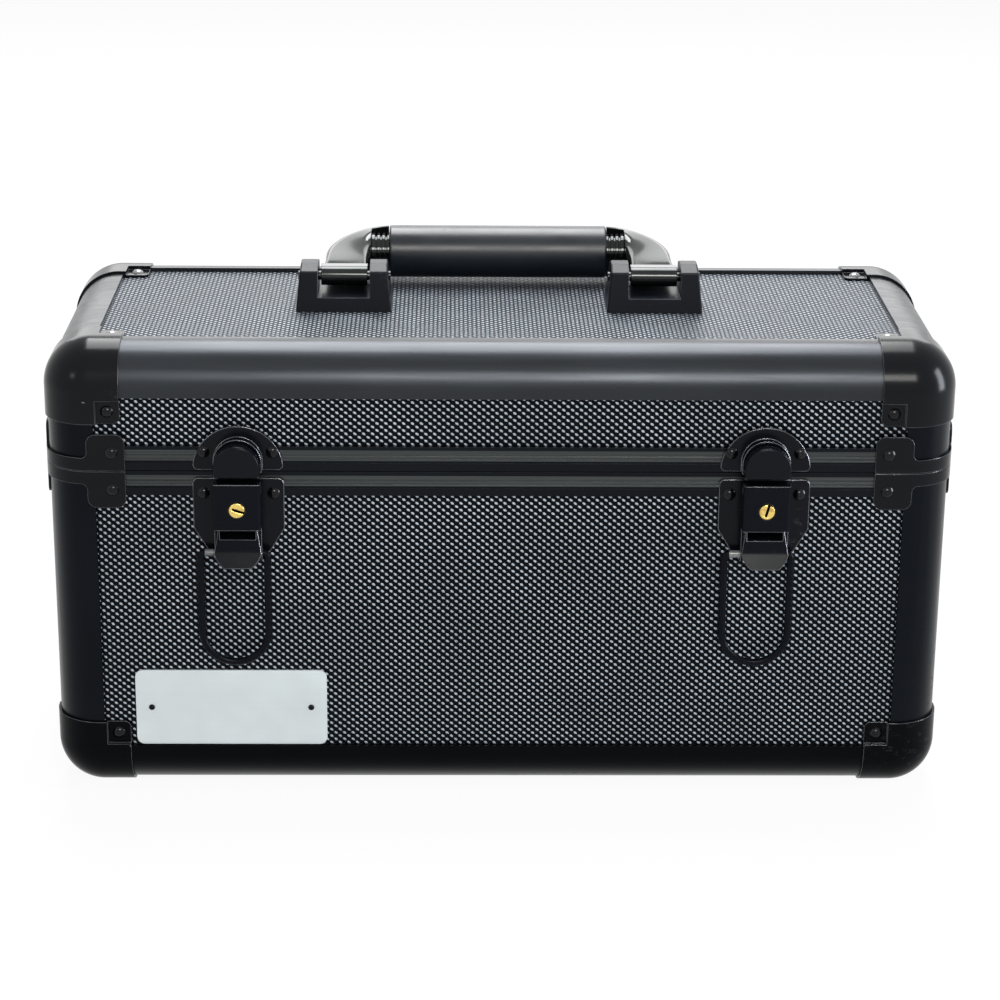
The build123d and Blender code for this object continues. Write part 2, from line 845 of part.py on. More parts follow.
def latch_keeper(x):
    """The keeper on the lid: a riveted plate and a boss with a groove for the bail's wire."""
    root_front = half_depth + boss_root_reach
    lip_back = half_depth + boss_lip_reach
    with BuildPart() as keeper:
        with BuildSketch(front_plane(x, half_depth + plate_play)) as outline:
            with Locations((0, keeper_bottom)):
                Circle(keeper_radius)
                Rectangle(
                    2 * keeper_radius,
                    keeper_radius,
                    align=(Align.CENTER, Align.MAX),
                    mode=Mode.SUBTRACT,
                )
            fillet(outline.vertices(), radius=keeper_corner)
        extrude(amount=latch_sheet)
        root = boss_section(front_plane(x, plate_front), boss_root_radius, boss_root_top)
        extrude(root, amount=root_front - plate_front)
        groove = boss_section(front_plane(x, root_front), boss_groove_radius, boss_groove_top)
        extrude(groove, amount=lip_back - root_front)
        lip = boss_section(front_plane(x, lip_back), boss_lip_radius, boss_lip_top)
        extrude(lip, amount=face_y - lip_back)
        fillet(keeper.faces().sort_by(Axis.Y)[0].edges(), radius=boss_edge)
        add(lid_plate_holes, mode=Mode.SUBTRACT)
    return keeper.part


def lever_pin(x):
    """The pin that the lever turns on."""
    with BuildPart() as pin:
        with BuildSketch(Plane.YZ.offset(x - lever_half)):
            with Locations((axis_y, axis_z)):
                Circle(pivot_radius)
        extrude(amount=lever_width)
    return pin.part


for side, x in latch_places.items():
    save(latch_plate(x), f"latch_{side}_base_plate")
    save(latch_lever(x), f"latch_{side}_lever")
    save(lever_pin(x), f"latch_{side}_hinge_pin")
    save(key_plug(x, key_slot_angles[side]), f"latch_{side}_key_plug")
    save(wire_bail(x), f"latch_{side}_bail")
    save(latch_keeper(x), f"latch_{side}_keeper")


# Carry handle: two brackets on the lid, two cast arms on pins, and a grip on a collared core

bracket_base = top_face + plate_play
grip_z = pivot_z + grip_lift
arm_end_x = grip_length / 2 + grip_gap


def handle_bracket(x):
    """A drafted block, open between two ears that hold the arm's pin."""
    half_top = bracket_width / 2 - bracket_lean
    profile = (
        (bracket_depth / 2, 0),
        (bracket_shoulder_depth / 2, bracket_shoulder),
        (bracket_top_depth / 2, bracket_height),
        (-bracket_top_depth / 2, bracket_height),
        (-bracket_shoulder_depth / 2, bracket_shoulder),
        (-bracket_depth / 2, 0),
    )
    base = Vector(x, bracket_middle_y, bracket_base)
    with BuildPart() as bracket:
        with BuildSketch(Plane(base, x_dir=(0, 1, 0), z_dir=(1, 0, 0))):
            with BuildLine():
                Polyline(*profile, close=True)
            make_face()
        extrude(amount=bracket_width / 2, both=True)
        with BuildSketch(Plane(base, x_dir=(1, 0, 0), z_dir=(0, -1, 0))):
            with BuildLine():
                Polyline(
                    (-bracket_width / 2, 0),
                    (bracket_width / 2, 0),
                    (half_top, bracket_height),
                    (-half_top, bracket_height),
                    close=True,
                )
            make_face()
        extrude(amount=bracket_depth, both=True, mode=Mode.INTERSECT)
        upper = bracket.edges().filter_by(lambda e: e.center().Z > bracket_base + bracket_edge)
        fillet(upper, radius=bracket_edge)
        with BuildSketch(Plane(base + Vector(0, 0, bracket_floor))):
            Rectangle(bracket_window, 2 * bracket_depth)
        extrude(amount=bracket_height, mode=Mode.SUBTRACT)
        with BuildSketch(Plane.YZ.offset(x)):
            with Locations((bracket_middle_y, pivot_z)):
                Circle(handle_pin_radius + running_play)
        extrude(amount=bracket_width, both=True, mode=Mode.SUBTRACT)
    return bracket.part


def handle_pin(x):
    """The pin through the bracket's ears and the arm's barrel."""
    draft = bracket_lean * pivot_height / bracket_height
    reach = bracket_width / 2 - draft + handle_pin_proud
    with BuildPart() as pin:
        with BuildSketch(Plane.YZ.offset(x)):
            with Locations((bracket_middle_y, pivot_z)):
                Circle(handle_pin_radius)
        extrude(amount=reach, both=True)
    return pin.part


def arm_section(side, turn):
    """One section of the arm, from flat at its barrel to round at the grip."""
    share = turn / 90
    ahead, inward = cos(radians(turn)), sin(radians(turn))
    centre_x = side * (arm_end_x + (bracket_x - arm_end_x) * ahead ** arm_fullness)
    start_y = bracket_middle_y + arm_neck
    centre_y = start_y + (grip_back - start_y) * inward ** arm_fullness
    centre_z = pivot_z + grip_lift * share
    across = barrel_length + (2 * arm_end_radius - barrel_length) * share
    half_rise = barrel_radius + (arm_end_radius - barrel_radius) * share ** arm_swell
    corner = arm_edge + (half_rise - arm_edge) * inward - arm_flat
    along = Vector(-side * inward, ahead, 0)
    plane = Plane((centre_x, centre_y, centre_z), x_dir=along.cross(Vector(0, 0, 1)), z_dir=along)
    with BuildSketch(plane) as section:
        RectangleRounded(across, 2 * half_rise, corner)
    return section.sketch


def handle_arm(side):
    """A cast arm: a barrel on the pin and a horn that turns to the grip, notched for the collar."""
    x = side * bracket_x
    with BuildPart() as arm:
        loft([arm_section(side, 90 * i / (arm_sections - 1)) for i in range(arm_sections)])
        with BuildSketch(Plane.YZ.offset(x)):
            with Locations((bracket_middle_y, pivot_z)):
                Circle(barrel_radius)
                Rectangle(arm_neck, 2 * barrel_radius, align=(Align.MIN, Align.CENTER))
        extrude(amount=barrel_length / 2, both=True)
        with BuildSketch(Plane.YZ.offset(x)):
            with Locations((bracket_middle_y, pivot_z)):
                Circle(handle_pin_radius + running_play)
        extrude(amount=barrel_length, both=True, mode=Mode.SUBTRACT)
        with BuildSketch(Plane.YZ.offset(side * arm_end_x)):
            with Locations((grip_back, grip_z)):
                Circle(core_radius + running_play)
        extrude(amount=side * core_bite, mode=Mode.SUBTRACT)
        with BuildSketch(Plane.YZ.offset(side * (grip_length / 2))):
            with Locations((grip_back, grip_z)):
                Circle(collar_radius + running_play)
                Rectangle(2 * arm_end_radius, 3 * arm_end_radius, align=(Align.MAX, Align.CENTER))
        extrude(amount=side * (grip_gap + collar_length), mode=Mode.SUBTRACT)
    return arm.part


for side, sx in sides.items():
    save(handle_bracket(sx * bracket_x), f"handle_bracket_{side}")
    save(handle_arm(sx), f"handle_arm_{side}")

with BuildPart() as handle_pins:
    add(handle_pin(-bracket_x))
    add(handle_pin(bracket_x))
save(handle_pins.part, "handle_pins")

with BuildPart() as grip:
    with BuildSketch(Plane.YZ.offset(-grip_length / 2)):
        with Locations((grip_back, grip_z)):
            Circle(grip_radius)
    extrude(amount=grip_length)
    fillet(grip.edges(), radius=grip_edge)
    with BuildSketch(Plane.YZ.offset(-grip_length / 2)):
        with Locations((grip_back, grip_z)):
            Circle(core_radius + running_play)
    extrude(amount=grip_length, mode=Mode.SUBTRACT)
save(grip.part, "handle_grip")

with BuildPart() as core:
    with BuildSketch(Plane.YZ):
        with Locations((grip_back, grip_z)):
            Circle(core_radius)
    extrude(amount=grip_length / 2 + core_bite, both=True)
    collar_start = grip_length / 2 + running_play
    for sx in sides.values():
        with BuildSketch(Plane.YZ.offset(sx * collar_start)):
            with Locations((grip_back, grip_z)):
                Circle(collar_radius)
        extrude(amount=sx * (collar_length + grip_gap - 2 * running_play))
        for i in range(collar_grooves):
            with BuildSketch(Plane.YZ.offset(sx * (collar_start + (i + 1 / 2) * collar_pitch))):
                with Locations((grip_back, grip_z)):
                    Circle(collar_radius)
                    Circle(collar_radius - collar_groove_depth, mode=Mode.SUBTRACT)
            extrude(amount=sx * collar_groove, mode=Mode.SUBTRACT)
save(core.part, "handle_core")


# Hinges at the back: two leaves, three knuckles and a pin each

hinge_y = half_depth + hinge_axis_out
knuckle_length = (hinge_width - 2 * knuckle_gap) / 3


def hinge_leaf_part(x, up, spans, holes):
    """One leaf with its knuckles, on the lid or the base."""
    with BuildPart() as leaf:
        with BuildSketch(Plane((x, half_depth + plate_play, parting), x_dir=(-1, 0, 0), z_dir=(0, 1, 0))):
            with Locations((0, up * (knuckle_radius + hinge_leaf) / 2)):
                RectangleRounded(hinge_width, hinge_leaf - knuckle_radius + 2 * hinge_sheet, hinge_sheet)
        extrude(amount=hinge_sheet)
        for start, length in spans:
            with BuildSketch(Plane.YZ.offset(x - hinge_width / 2 + start)):
                with Locations((hinge_y, parting)):
                    Circle(knuckle_radius)
                with Locations((half_depth + plate_play, parting + up * knuckle_radius)):
                    Rectangle(
                        hinge_axis_out - plate_play,
                        hinge_sheet,
                        align=(Align.MIN, Align.MAX if up > 0 else Align.MIN),
                    )
                with Locations((hinge_y, parting)):
                    Circle(hinge_pin_radius + running_play, mode=Mode.SUBTRACT)
            extrude(amount=length)
        add(holes, mode=Mode.SUBTRACT)
    return leaf.part


outer_spans = [(0, knuckle_length), (2 * (knuckle_length + knuckle_gap), knuckle_length)]
inner_span = [(knuckle_length + knuckle_gap, knuckle_length)]

for body, up, spans, holes in (
    ("base", -1, outer_spans, base_plate_holes),
    ("lid", 1, inner_span, lid_plate_holes),
):
    with BuildPart() as leaves:
        for sx in sides.values():
            add(hinge_leaf_part(sx * hinge_x, up, spans, holes))
    save(leaves.part, f"hinge_{body}_leaves")

with BuildPart() as hinge_pins:
    for sx in sides.values():
        with BuildSketch(Plane.YZ.offset(sx * hinge_x)):
            with Locations((hinge_y, parting)):
                Circle(hinge_pin_radius)
        extrude(amount=hinge_width / 2, both=True)
save(hinge_pins.part, "hinge_pins")


# Name plate, left bare, with its two pins

nameplate_middle = (nameplate_x, -(half_depth - panel_face + plate_play), frame_bottom + nameplate_z)
nameplate_plane = Plane(nameplate_middle, x_dir=(1, 0, 0), z_dir=(0, -1, 0))

with BuildPart() as nameplate:
    with BuildSketch(nameplate_plane):
        RectangleRounded(nameplate_width, nameplate_height, nameplate_corner)
        with GridLocations(nameplate_pin_spacing, 0, 2, 1):
            Circle(nameplate_pin_radius + hole_play, mode=Mode.SUBTRACT)
    extrude(amount=nameplate_sheet)
save(nameplate.part, "name_plate")

with BuildPart() as nameplate_pins:
    with BuildSketch(nameplate_plane):
        with GridLocations(nameplate_pin_spacing, 0, 2, 1):
            Circle(nameplate_pin_radius)
    extrude(amount=nameplate_sheet + nameplate_pin_head)
    chamfer(nameplate_pins.faces().group_by(Axis.Y)[0].edges(), length=nameplate_pin_head / 2)
save(nameplate_pins.part, "name_plate_pins")


# Foam: a floor pad, four walls round the card bay, loose dividers and a pad in the lid

liner_x = half_width - wall_inside - foam_play
liner_y = half_depth - wall_inside - foam_play
floor_low = frame_bottom + wall_inside + plate_play
floor_high = floor_low + floor_foam
wall_foam_low = floor_high + plate_play
wall_foam_high = parting - foam_below_parting
lid_foam_high = frame_top - wall_inside - plate_play


def foam_block(low, high):
    """A rectangular block between two corners."""
    with BuildPart() as block:
        with BuildSketch(Plane.XY.offset(low[2])):
            with Locations((low[0], low[1])):
                Rectangle(high[0] - low[0], high[1] - low[1], align=(Align.MIN, Align.MIN))
        extrude(amount=high[2] - low[2])
    return block.part


def foam_pad(low, thickness):
    """A pad over the whole inside, rounded to clear the caps' inner corners."""
    with BuildPart() as pad:
        with BuildSketch(Plane.XY.offset(low)):
            RectangleRounded(2 * liner_x, 2 * liner_y, foam_corner)
        extrude(amount=thickness)
    return pad.part


save(foam_pad(floor_low, floor_foam), "foam_floor_pad")
save(foam_pad(lid_foam_high - lid_foam, lid_foam), "foam_lid_pad")
save(
    foam_block((-liner_x, -liner_y, wall_foam_low), (liner_x, -bay_width / 2, wall_foam_high)),
    "foam_front_wall",
)
save(
    foam_block((-liner_x, bay_width / 2, wall_foam_low), (liner_x, liner_y, wall_foam_high)),
    "foam_back_wall",
)
end_y = bay_width / 2 - plate_play
save(
    foam_block((-liner_x, -end_y, wall_foam_low), (end_foam - liner_x, end_y, wall_foam_high)),
    "foam_left_wall",
)
save(
    foam_block((liner_x - end_foam, -end_y, wall_foam_low), (liner_x, end_y, wall_foam_high)),
    "foam_right_wall",
)

divider_y = bay_width / 2 - foam_play
for side, sx in sides.items():
    near = sx * divider_spacing / 2 - divider_thickness / 2
    save(
        foam_block(
            (near, -divider_y, wall_foam_low),
            (near + divider_thickness, divider_y, wall_foam_low + divider_height),
        ),
        f"foam_divider_{side}",
    )
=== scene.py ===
"""Dresses the card case: finishes for its solids, its foam, and the studio it stands in."""

import math

import bmesh
import bpy
from bpy.props import FloatProperty, FloatVectorProperty, PointerProperty
from bpy.types import Operator, Panel, PropertyGroup
from mathutils import Matrix, Vector, noise


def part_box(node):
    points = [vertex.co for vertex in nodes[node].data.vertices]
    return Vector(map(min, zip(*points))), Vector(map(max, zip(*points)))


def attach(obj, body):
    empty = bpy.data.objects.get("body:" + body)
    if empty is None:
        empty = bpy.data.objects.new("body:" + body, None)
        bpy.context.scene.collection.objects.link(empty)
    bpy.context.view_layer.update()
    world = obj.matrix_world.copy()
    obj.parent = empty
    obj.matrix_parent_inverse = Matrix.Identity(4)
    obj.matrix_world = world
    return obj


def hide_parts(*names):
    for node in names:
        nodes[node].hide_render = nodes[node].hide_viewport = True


bl_info = {
    "name": "Card case dresser",
    "version": (1, 0, 0),
    "blender": (4, 5, 0),
    "location": "3D View > Sidebar > Card case",
    "description": "Finishes, foam and studio for a framed card case",
    "category": "Object",
}

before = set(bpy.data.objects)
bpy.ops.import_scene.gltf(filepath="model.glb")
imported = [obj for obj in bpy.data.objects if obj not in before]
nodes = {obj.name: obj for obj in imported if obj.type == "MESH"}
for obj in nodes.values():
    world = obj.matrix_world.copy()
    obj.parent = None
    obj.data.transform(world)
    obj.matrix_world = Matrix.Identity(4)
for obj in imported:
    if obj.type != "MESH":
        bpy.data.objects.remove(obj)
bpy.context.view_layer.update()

MM = 0.001
LINING = 1.0 * MM  # depth of the plain lining on a panel's inner side
DIAMOND_SLANT = 0.30  # how far the diamonds lean to one side

RIBS_FROM_PARTING = (2.9 * MM, 7.0 * MM)  # from the line between lid and base
# Radii of the rounded edges on black steel; the painted highlight along the edges is about as
# wide.
EDGE_ROUNDING = 0.45 * MM
LATCH_EDGE_ROUNDING = 0.6 * MM
TOP_RIVET_HIGHLIGHT = 0.35  # share of paler metal painted on the rivet heads over the lid's top: a painted highlight
ROUNDING_SAMPLES = 6

BAIL_LEG = 3.2 * MM  # the turned ends lie further in from the sides of the bail than this
BAIL_END_DEPTH = 3.6 * MM  # and no further down from its top than this
# Painted shade: behind the plug's face the keyway and the plug's sides are painted dark from these
# depths on.
KEYWAY_SHADE_FROM = 0.08 * MM  # depth behind the plug's face where the keyway starts to darken
KEYWAY_SHADE_FULL = 0.3 * MM  # depth where it is dark

PAD_CORNER = 7.0 * MM
FOAM_LONGEST_EDGE = 12 * MM
FOAM_SHARP_ANGLE = 0.6  # radians; sharper edges than this are rounded
FOAM_CORNER_STEPS = 6
FOAM_EDGE_STEPS = 4
FOAM_SKIN = 0.35 * MM  # deepest dent in the foam's skin
FOAM_DENTS = 38.0  # noise cells to a metre

FLOOR_HALF = 6.0  # half the floor's width
FLOOR_WHITE = 0.93  # share of the floor that is plain white where it is seen

# Camera fitted to the photograph, in radians, metres and picture widths
YAW, PITCH, ROLL = 0.01971, 0.33424, 0.00939
CAMERA_PLACE = (-0.019488, -1.045002, 0.458889)
FOCAL_WIDTHS = 2.756325

# Paler metal painted along the edges of black steel, a painted highlight; on the corner caps it is
# also the steel bared by chips
BARE_AND_HIGHLIGHT_STEEL = (0.18, 0.19, 0.21)
LATCH_EDGE_HIGHLIGHT = (0.26, 0.27, 0.29)

SCUFFED_COAT = (0.08, 0.085, 0.09)
TARNISH = (0.38, 0.24, 0.08)
# Painted shade for the key plug's keyway and sides
KEYWAY_SHADE = (0.012, 0.008, 0.004)

# Grain of the brushing: drawn along X, or along Z
ALONG_X = (0.04, 0.6, 1.0)
ALONG_Z = (1.0, 1.0, 0.04)

# Name, place, width, height, watts and tint of each lamp
LAMPS = (
    ("back_box", (0.0, 0.60, 1.31), 0.76, 0.95, 31.0, (1.0, 1.0, 1.0)),
    ("back_card", (0.0, 1.60, 0.75), 1.8, 0.60, 7.0, (1.0, 1.0, 1.0)),
    ("front_box", (0.17, -1.33, 0.92), 0.60, 0.34, 12.0, (1.0, 0.985, 0.93)),
    ("front_left_box", (-1.1, -1.0, 0.75), 0.20, 0.20, 1.0, (0.97, 0.985, 1.0)),
    ("right_strip", (1.3, -0.25, 0.40), 0.34, 0.80, 16.0, (0.88, 0.94, 1.0)),
)
LAMP_TARGET = (0.0, 0.0, 0.15)


# Sizes and colours that a user would change


class CaseColours(PropertyGroup):
    """Colours of the case's finishes."""

    panel: FloatVectorProperty(
        name="Panels", description="Laminate between the diamonds", subtype="COLOR",
        size=3, min=0, max=1, default=(0.0015, 0.0018, 0.0026))
    # Pale colour of the raised diamonds' tops, which are also made partly metallic: a painted
    # highlight.
    diamond_highlight: FloatVectorProperty(
        name="Diamonds", description="Raised diamonds of the laminate", subtype="COLOR",
        size=3, min=0, max=1, default=(0.435, 0.495, 0.56))
    extrusion: FloatVectorProperty(
        name="Extrusions", description="Anodised edge extrusions", subtype="COLOR",
        size=3, min=0, max=1, default=(0.026, 0.0285, 0.0325))
    # A darker copy of the extrusion colour, for the posts, the ribbed rails and the bottom rails:
    # painted shade.
    shaded_extrusion: FloatVectorProperty(
        name="Posts", description="Anodised upright posts", subtype="COLOR",
        size=3, min=0, max=1, default=(0.0060, 0.0072, 0.0095))
    # Paler colour painted in streaks on the ribs: a painted sheen.
    rib_sheen: FloatVectorProperty(
        name="Ribs", description="Paler ribs of the closing extrusions", subtype="COLOR",
        size=3, min=0, max=1, default=(0.062, 0.068, 0.068))
    cap: FloatVectorProperty(
        name="Caps", description="Corner caps and braces", subtype="COLOR",
        size=3, min=0, max=1, default=(0.0022, 0.0027, 0.0040))
    latch: FloatVectorProperty(
        name="Latches", description="Plates, levers and keepers", subtype="COLOR",
        size=3, min=0, max=1, default=(0.0022, 0.0030, 0.0050))
    bracket: FloatVectorProperty(
        name="Brackets", description="Handle brackets", subtype="COLOR",
        size=3, min=0, max=1, default=(0.0045, 0.006, 0.0092))
    # Also the paler metal painted on the rivet heads over the lid's top, a painted highlight.
    steel: FloatVectorProperty(
        name="Bright steel", description="Pins and worn steel", subtype="COLOR",
        size=3, min=0, max=1, default=(0.62, 0.62, 0.63))
    brass: FloatVectorProperty(
        name="Brass", description="Key plugs", subtype="COLOR",
        size=3, min=0, max=1, default=(0.80, 0.58, 0.17))
    name_plate: FloatVectorProperty(
        name="Name plate", description="Bare aluminium plate", subtype="COLOR",
        size=3, min=0, max=1, default=(0.62, 0.675, 0.69))
    arm: FloatVectorProperty(
        name="Handle arms", description="Plated handle arms", subtype="COLOR",
        size=3, min=0, max=1, default=(0.030, 0.032, 0.032))
    grip: FloatVectorProperty(
        name="Grip", description="Moulded grip", subtype="COLOR",
        size=3, min=0, max=1, default=(0.0045, 0.0068, 0.0105))
    foam: FloatVectorProperty(
        name="Foam", description="Foam lining", subtype="COLOR",
        size=3, min=0, max=1, default=(0.028, 0.028, 0.030))


class CaseSizes(PropertyGroup):
    """Sizes of the details that the looks add."""

    diamond_across: FloatProperty(
        name="Diamond pitch across", description="Pitch of the diamonds along the case",
        default=3.30 * MM, min=0.5 * MM, max=10 * MM, unit="LENGTH", precision=5)
    diamond_up: FloatProperty(
        name="Diamond pitch up", description="Pitch of the diamonds up the case",
        default=2.72 * MM, min=0.5 * MM, max=10 * MM, unit="LENGTH", precision=5)
    diamond_height: FloatProperty(
        name="Diamond height", description="How far the diamonds stand out",
        default=0.30 * MM, min=0, max=2 * MM, unit="LENGTH", precision=5)
    foam_edge: FloatProperty(
        name="Foam edge", description="Rounding along the edges of the foam",
        default=1.6 * MM, min=0.2 * MM, max=5 * MM, unit="LENGTH", precision=5)


# Shader nodes


class Reading:
    """A value that varies over a surface, and the sums done on it."""

    def __init__(self, owner, socket):
        self.owner = owner
        self.socket = socket

    def sum(self, operation, *values):
        return self.owner.node("ShaderNodeMath", {"operation": operation}, dict(enumerate(values)))

    def __add__(self, other):
        return self.sum("ADD", self, other)

    def __sub__(self, other):
        return self.sum("SUBTRACT", self, other)

    def __rsub__(self, other):
        return self.sum("SUBTRACT", other, self)

    def __mul__(self, other):
        return self.sum("MULTIPLY", self, other)

    __rmul__ = __mul__

    def above(self, edge):
        """1 where the reading is over the edge."""
        return self.sum("GREATER_THAN", self, edge)

    def below(self, edge):
        """1 where the reading is under the edge."""
        return self.sum("LESS_THAN", self, edge)

    def size(self):
        """The reading without its sign."""
        return self.sum("ABSOLUTE", self)

    def cosine(self):
        return self.sum("COSINE", self)

    def sine(self):
        return self.sum("SINE", self)

    def larger(self, other):
        return self.sum("MAXIMUM", self, other)

    def ramp(self, low, high, start=0.0, end=1.0):
        """A smooth change from start to end as the reading goes from low to high."""
        return self.owner.node("ShaderNodeMapRange", {"interpolation_type": "SMOOTHSTEP"},
                               {0: self, 1: low, 2: high, 3: start, 4: end})

    def beside(self, output):
        """Another output of the same node."""
        return Reading(self.owner, self.socket.node.outputs[output])


class Shading:
    """The node tree of a material or a world."""

    def __init__(self, holder):
        holder.use_nodes = True
        self.tree = holder.node_tree

    def node(self, kind, settings, inputs, output=0):
        """Adds a node, makes its settings, then fills its sockets with values or links."""
        made = self.tree.nodes.new(kind)
        for key, value in settings.items():
            setattr(made, key, value)
        for key, value in inputs.items():
            self.fill(made.inputs[key], value)
        return Reading(self, made.outputs[output])

    def fill(self, socket, value):
        if isinstance(value, Reading):
            self.tree.links.new(value.socket, socket)
        else:
            socket.default_value = value

    def seen(self):
        """1 for rays from the camera and for mirrored or refracted rays, 0 for the rest."""
        seen = path = self.node("ShaderNodeLightPath", {}, {}, "Is Camera Ray")
        for ray in ("Is Glossy Ray", "Is Transmission Ray"):
            seen = seen.larger(path.beside(ray))
        return seen

    def blend_out(self, output, share, first, second):
        """Sends a blend of two shaders to the output."""
        blend = self.node("ShaderNodeMixShader", {}, {0: share, 1: first, 2: second})
        self.fill(self.tree.nodes[output].inputs["Surface"], blend)


class Finish(Shading):
    """A material under construction, with one Principled shader."""

    def __init__(self, name):
        self.material = bpy.data.materials.new(name)
        super().__init__(self.material)
        self.shader = self.tree.nodes["Principled BSDF"]
        self.place = self.node("ShaderNodeTexCoord", {}, {}, "Object")

    def set(self, **values):
        """Fills the shader's sockets, named with underscores for spaces."""
        for key, value in values.items():
            self.fill(self.shader.inputs[key.replace("_", " ")], value)
        return self

    def axes(self):
        """Readings along X, Y and Z of the piece's place."""
        split = self.node("ShaderNodeSeparateXYZ", {}, {0: self.place})
        return [split.beside(axis) for axis in range(3)]

    def stretched(self, scale):
        """The place, scaled by its own number along each axis."""
        return self.node("ShaderNodeMapping", {}, {"Vector": self.place, "Scale": scale})

    def grain(self, scale, detail=3.0, place=None, rough=0.5):
        """Soft noise from 0 to 1."""
        return self.node("ShaderNodeTexNoise", {},
                         {"Vector": place or self.place, "Scale": scale, "Detail": detail,
                          "Roughness": rough})

    def cells(self, scale, place=None):
        """Distance to scattered points."""
        return self.node("ShaderNodeTexVoronoi", {},
                         {"Vector": place or self.place, "Scale": scale}, "Distance")

    def mix(self, share, first, second):
        """A colour between two colours."""
        def colour(value):
            return value if isinstance(value, Reading) else (*value[:3], 1.0)
        return self.node("ShaderNodeMix", {"data_type": "RGBA"},
                         {0: share, 6: colour(first), 7: colour(second)}, 2)

    def bump(self, height, depth, under=None):
        """A normal from a height of 0 to 1, which stands for that depth."""
        inputs = {"Height": height, "Distance": depth, "Strength": 1.0}
        if under is not None:
            inputs["Normal"] = under
        return self.node("ShaderNodeBump", {}, inputs)

    def rounded(self, radius):
        """A normal that rounds the sharp edges of a solid."""
        return self.node("ShaderNodeBevel", {"samples": ROUNDING_SAMPLES}, {"Radius": radius})

    def edges(self, rounded):
        """1 along the edges that a rounded normal softens, 0 on the faces."""
        facing = self.node("ShaderNodeNewGeometry", {}, {}, "Normal")
        along = self.node("ShaderNodeVectorMath", {"operation": "DOT_PRODUCT"},
                          {0: rounded, 1: facing}, "Value")
        return (1 - along).ramp(0.02, 0.16)

    def give(self, *names):
        """Puts the finish on CAD nodes."""
        for name in names:
            paint(nodes[name], self.material)


def paint(piece, material):
    """Gives a piece one material."""
    piece.data.materials.clear()
    piece.data.materials.append(material)


def scaled(colour, factor):
    """A colour made paler or darker."""
    return [c * factor for c in colour]


def scuffs(finish, scale=9.0):
    """Patches of fine scratches, from 0 to 1, mostly 0."""
    patches = finish.grain(scale, 2.0).ramp(0.52, 0.72)
    lines = finish.grain(260.0, 4.0, finish.stretched((1.0, 0.35, 1.6)), 0.7).ramp(0.56, 0.68)
    return patches * lines


# Panels and extrusions


def diamond_height(across, up, sizes):
    """Height of the raised diamonds, from 0 to 1, on a staggered grid."""
    turn = 2 * math.pi
    a = across * (turn / sizes.diamond_across)
    b = up * (turn / sizes.diamond_up)
    lattice = a.cosine() * b.cosine() - DIAMOND_SLANT * (a.sine() * b.sine())
    return lattice.ramp(-0.25, 0.95)


def laminate(name, across, up, skin, settings, gloss=0.05, lift=1.0, rough=0.30, ground=1.0):
    """Black laminate with raised diamonds on the panel's outer side, and plain lining inside.

    skin gives the axis through the panel, and the lowest and highest place on it that are inside.
    Two factors make the diamonds and what lies between them paler (or, below 1, darker); with them
    the top and bottom laminate gets a far paler ground, a painted sheen. The diamonds' tops are
    painted pale and partly metallic, a painted highlight.
    """
    colours, sizes = settings
    through, low, high = skin
    finish = Finish(name)
    axes = finish.axes()
    height = diamond_height(axes[across], axes[up], sizes)
    outside = axes[through].above(high).larger(axes[through].below(low))
    # Painted highlight: the diamonds' tops are painted pale and partly metallic, more in some
    # blotches than in others.
    blotches = finish.grain(35.0, 3.0)
    tops = height.ramp(0.40, 1.0)
    share = tops * outside * blotches.ramp(0.2, 0.8, 0.72, 1.0)
    finish.set(Base_Color=finish.mix(share, scaled(colours.panel, ground),
                                     scaled(colours.diamond_highlight, lift)),
               Metallic=tops * outside * 0.35, Specular_IOR_Level=gloss,
               Roughness=blotches.ramp(0.3, 0.7, rough, rough + 0.08) + (1 - outside) * 0.4,
               Normal=finish.bump(height * outside, sizes.diamond_height))
    return finish


class CARDCASE_OT_panels(Operator):
    """Puts the diamond laminate on the panels of the base and the lid"""

    bl_idname = "cardcase.panels"
    bl_label = "Panels"

    def execute(self, context):
        settings = (context.scene.case_colours, context.scene.case_sizes)
        front = abs(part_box("base_front_panel")[1].y) + LINING
        side = abs(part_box("base_right_panel")[0].x) + LINING
        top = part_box("lid_top_panel")[0].z + LINING
        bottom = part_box("base_bottom_panel")[1].z - LINING
        fronts = laminate("Laminate front and back", 0, 2, (1, -front, front), settings)
        ends = laminate("Laminate ends", 1, 2, (0, -side, side), settings)
        # The top and bottom laminate is a paler copy of the same sheet. Its ground is five times
        # paler, a painted sheen for the light it catches from above, and its diamonds are slightly
        # darker.
        flats = laminate("Laminate top and bottom with painted sheen", 0, 1, (2, bottom, top), settings,
                         gloss=0.11, lift=0.92, rough=0.42, ground=5.0)
        fronts.give("base_front_panel", "base_back_panel", "lid_front_panel", "lid_back_panel")
        ends.give("base_left_panel", "base_right_panel", "lid_left_panel", "lid_right_panel")
        flats.give("base_bottom_panel", "lid_top_panel")
        return {"FINISHED"}


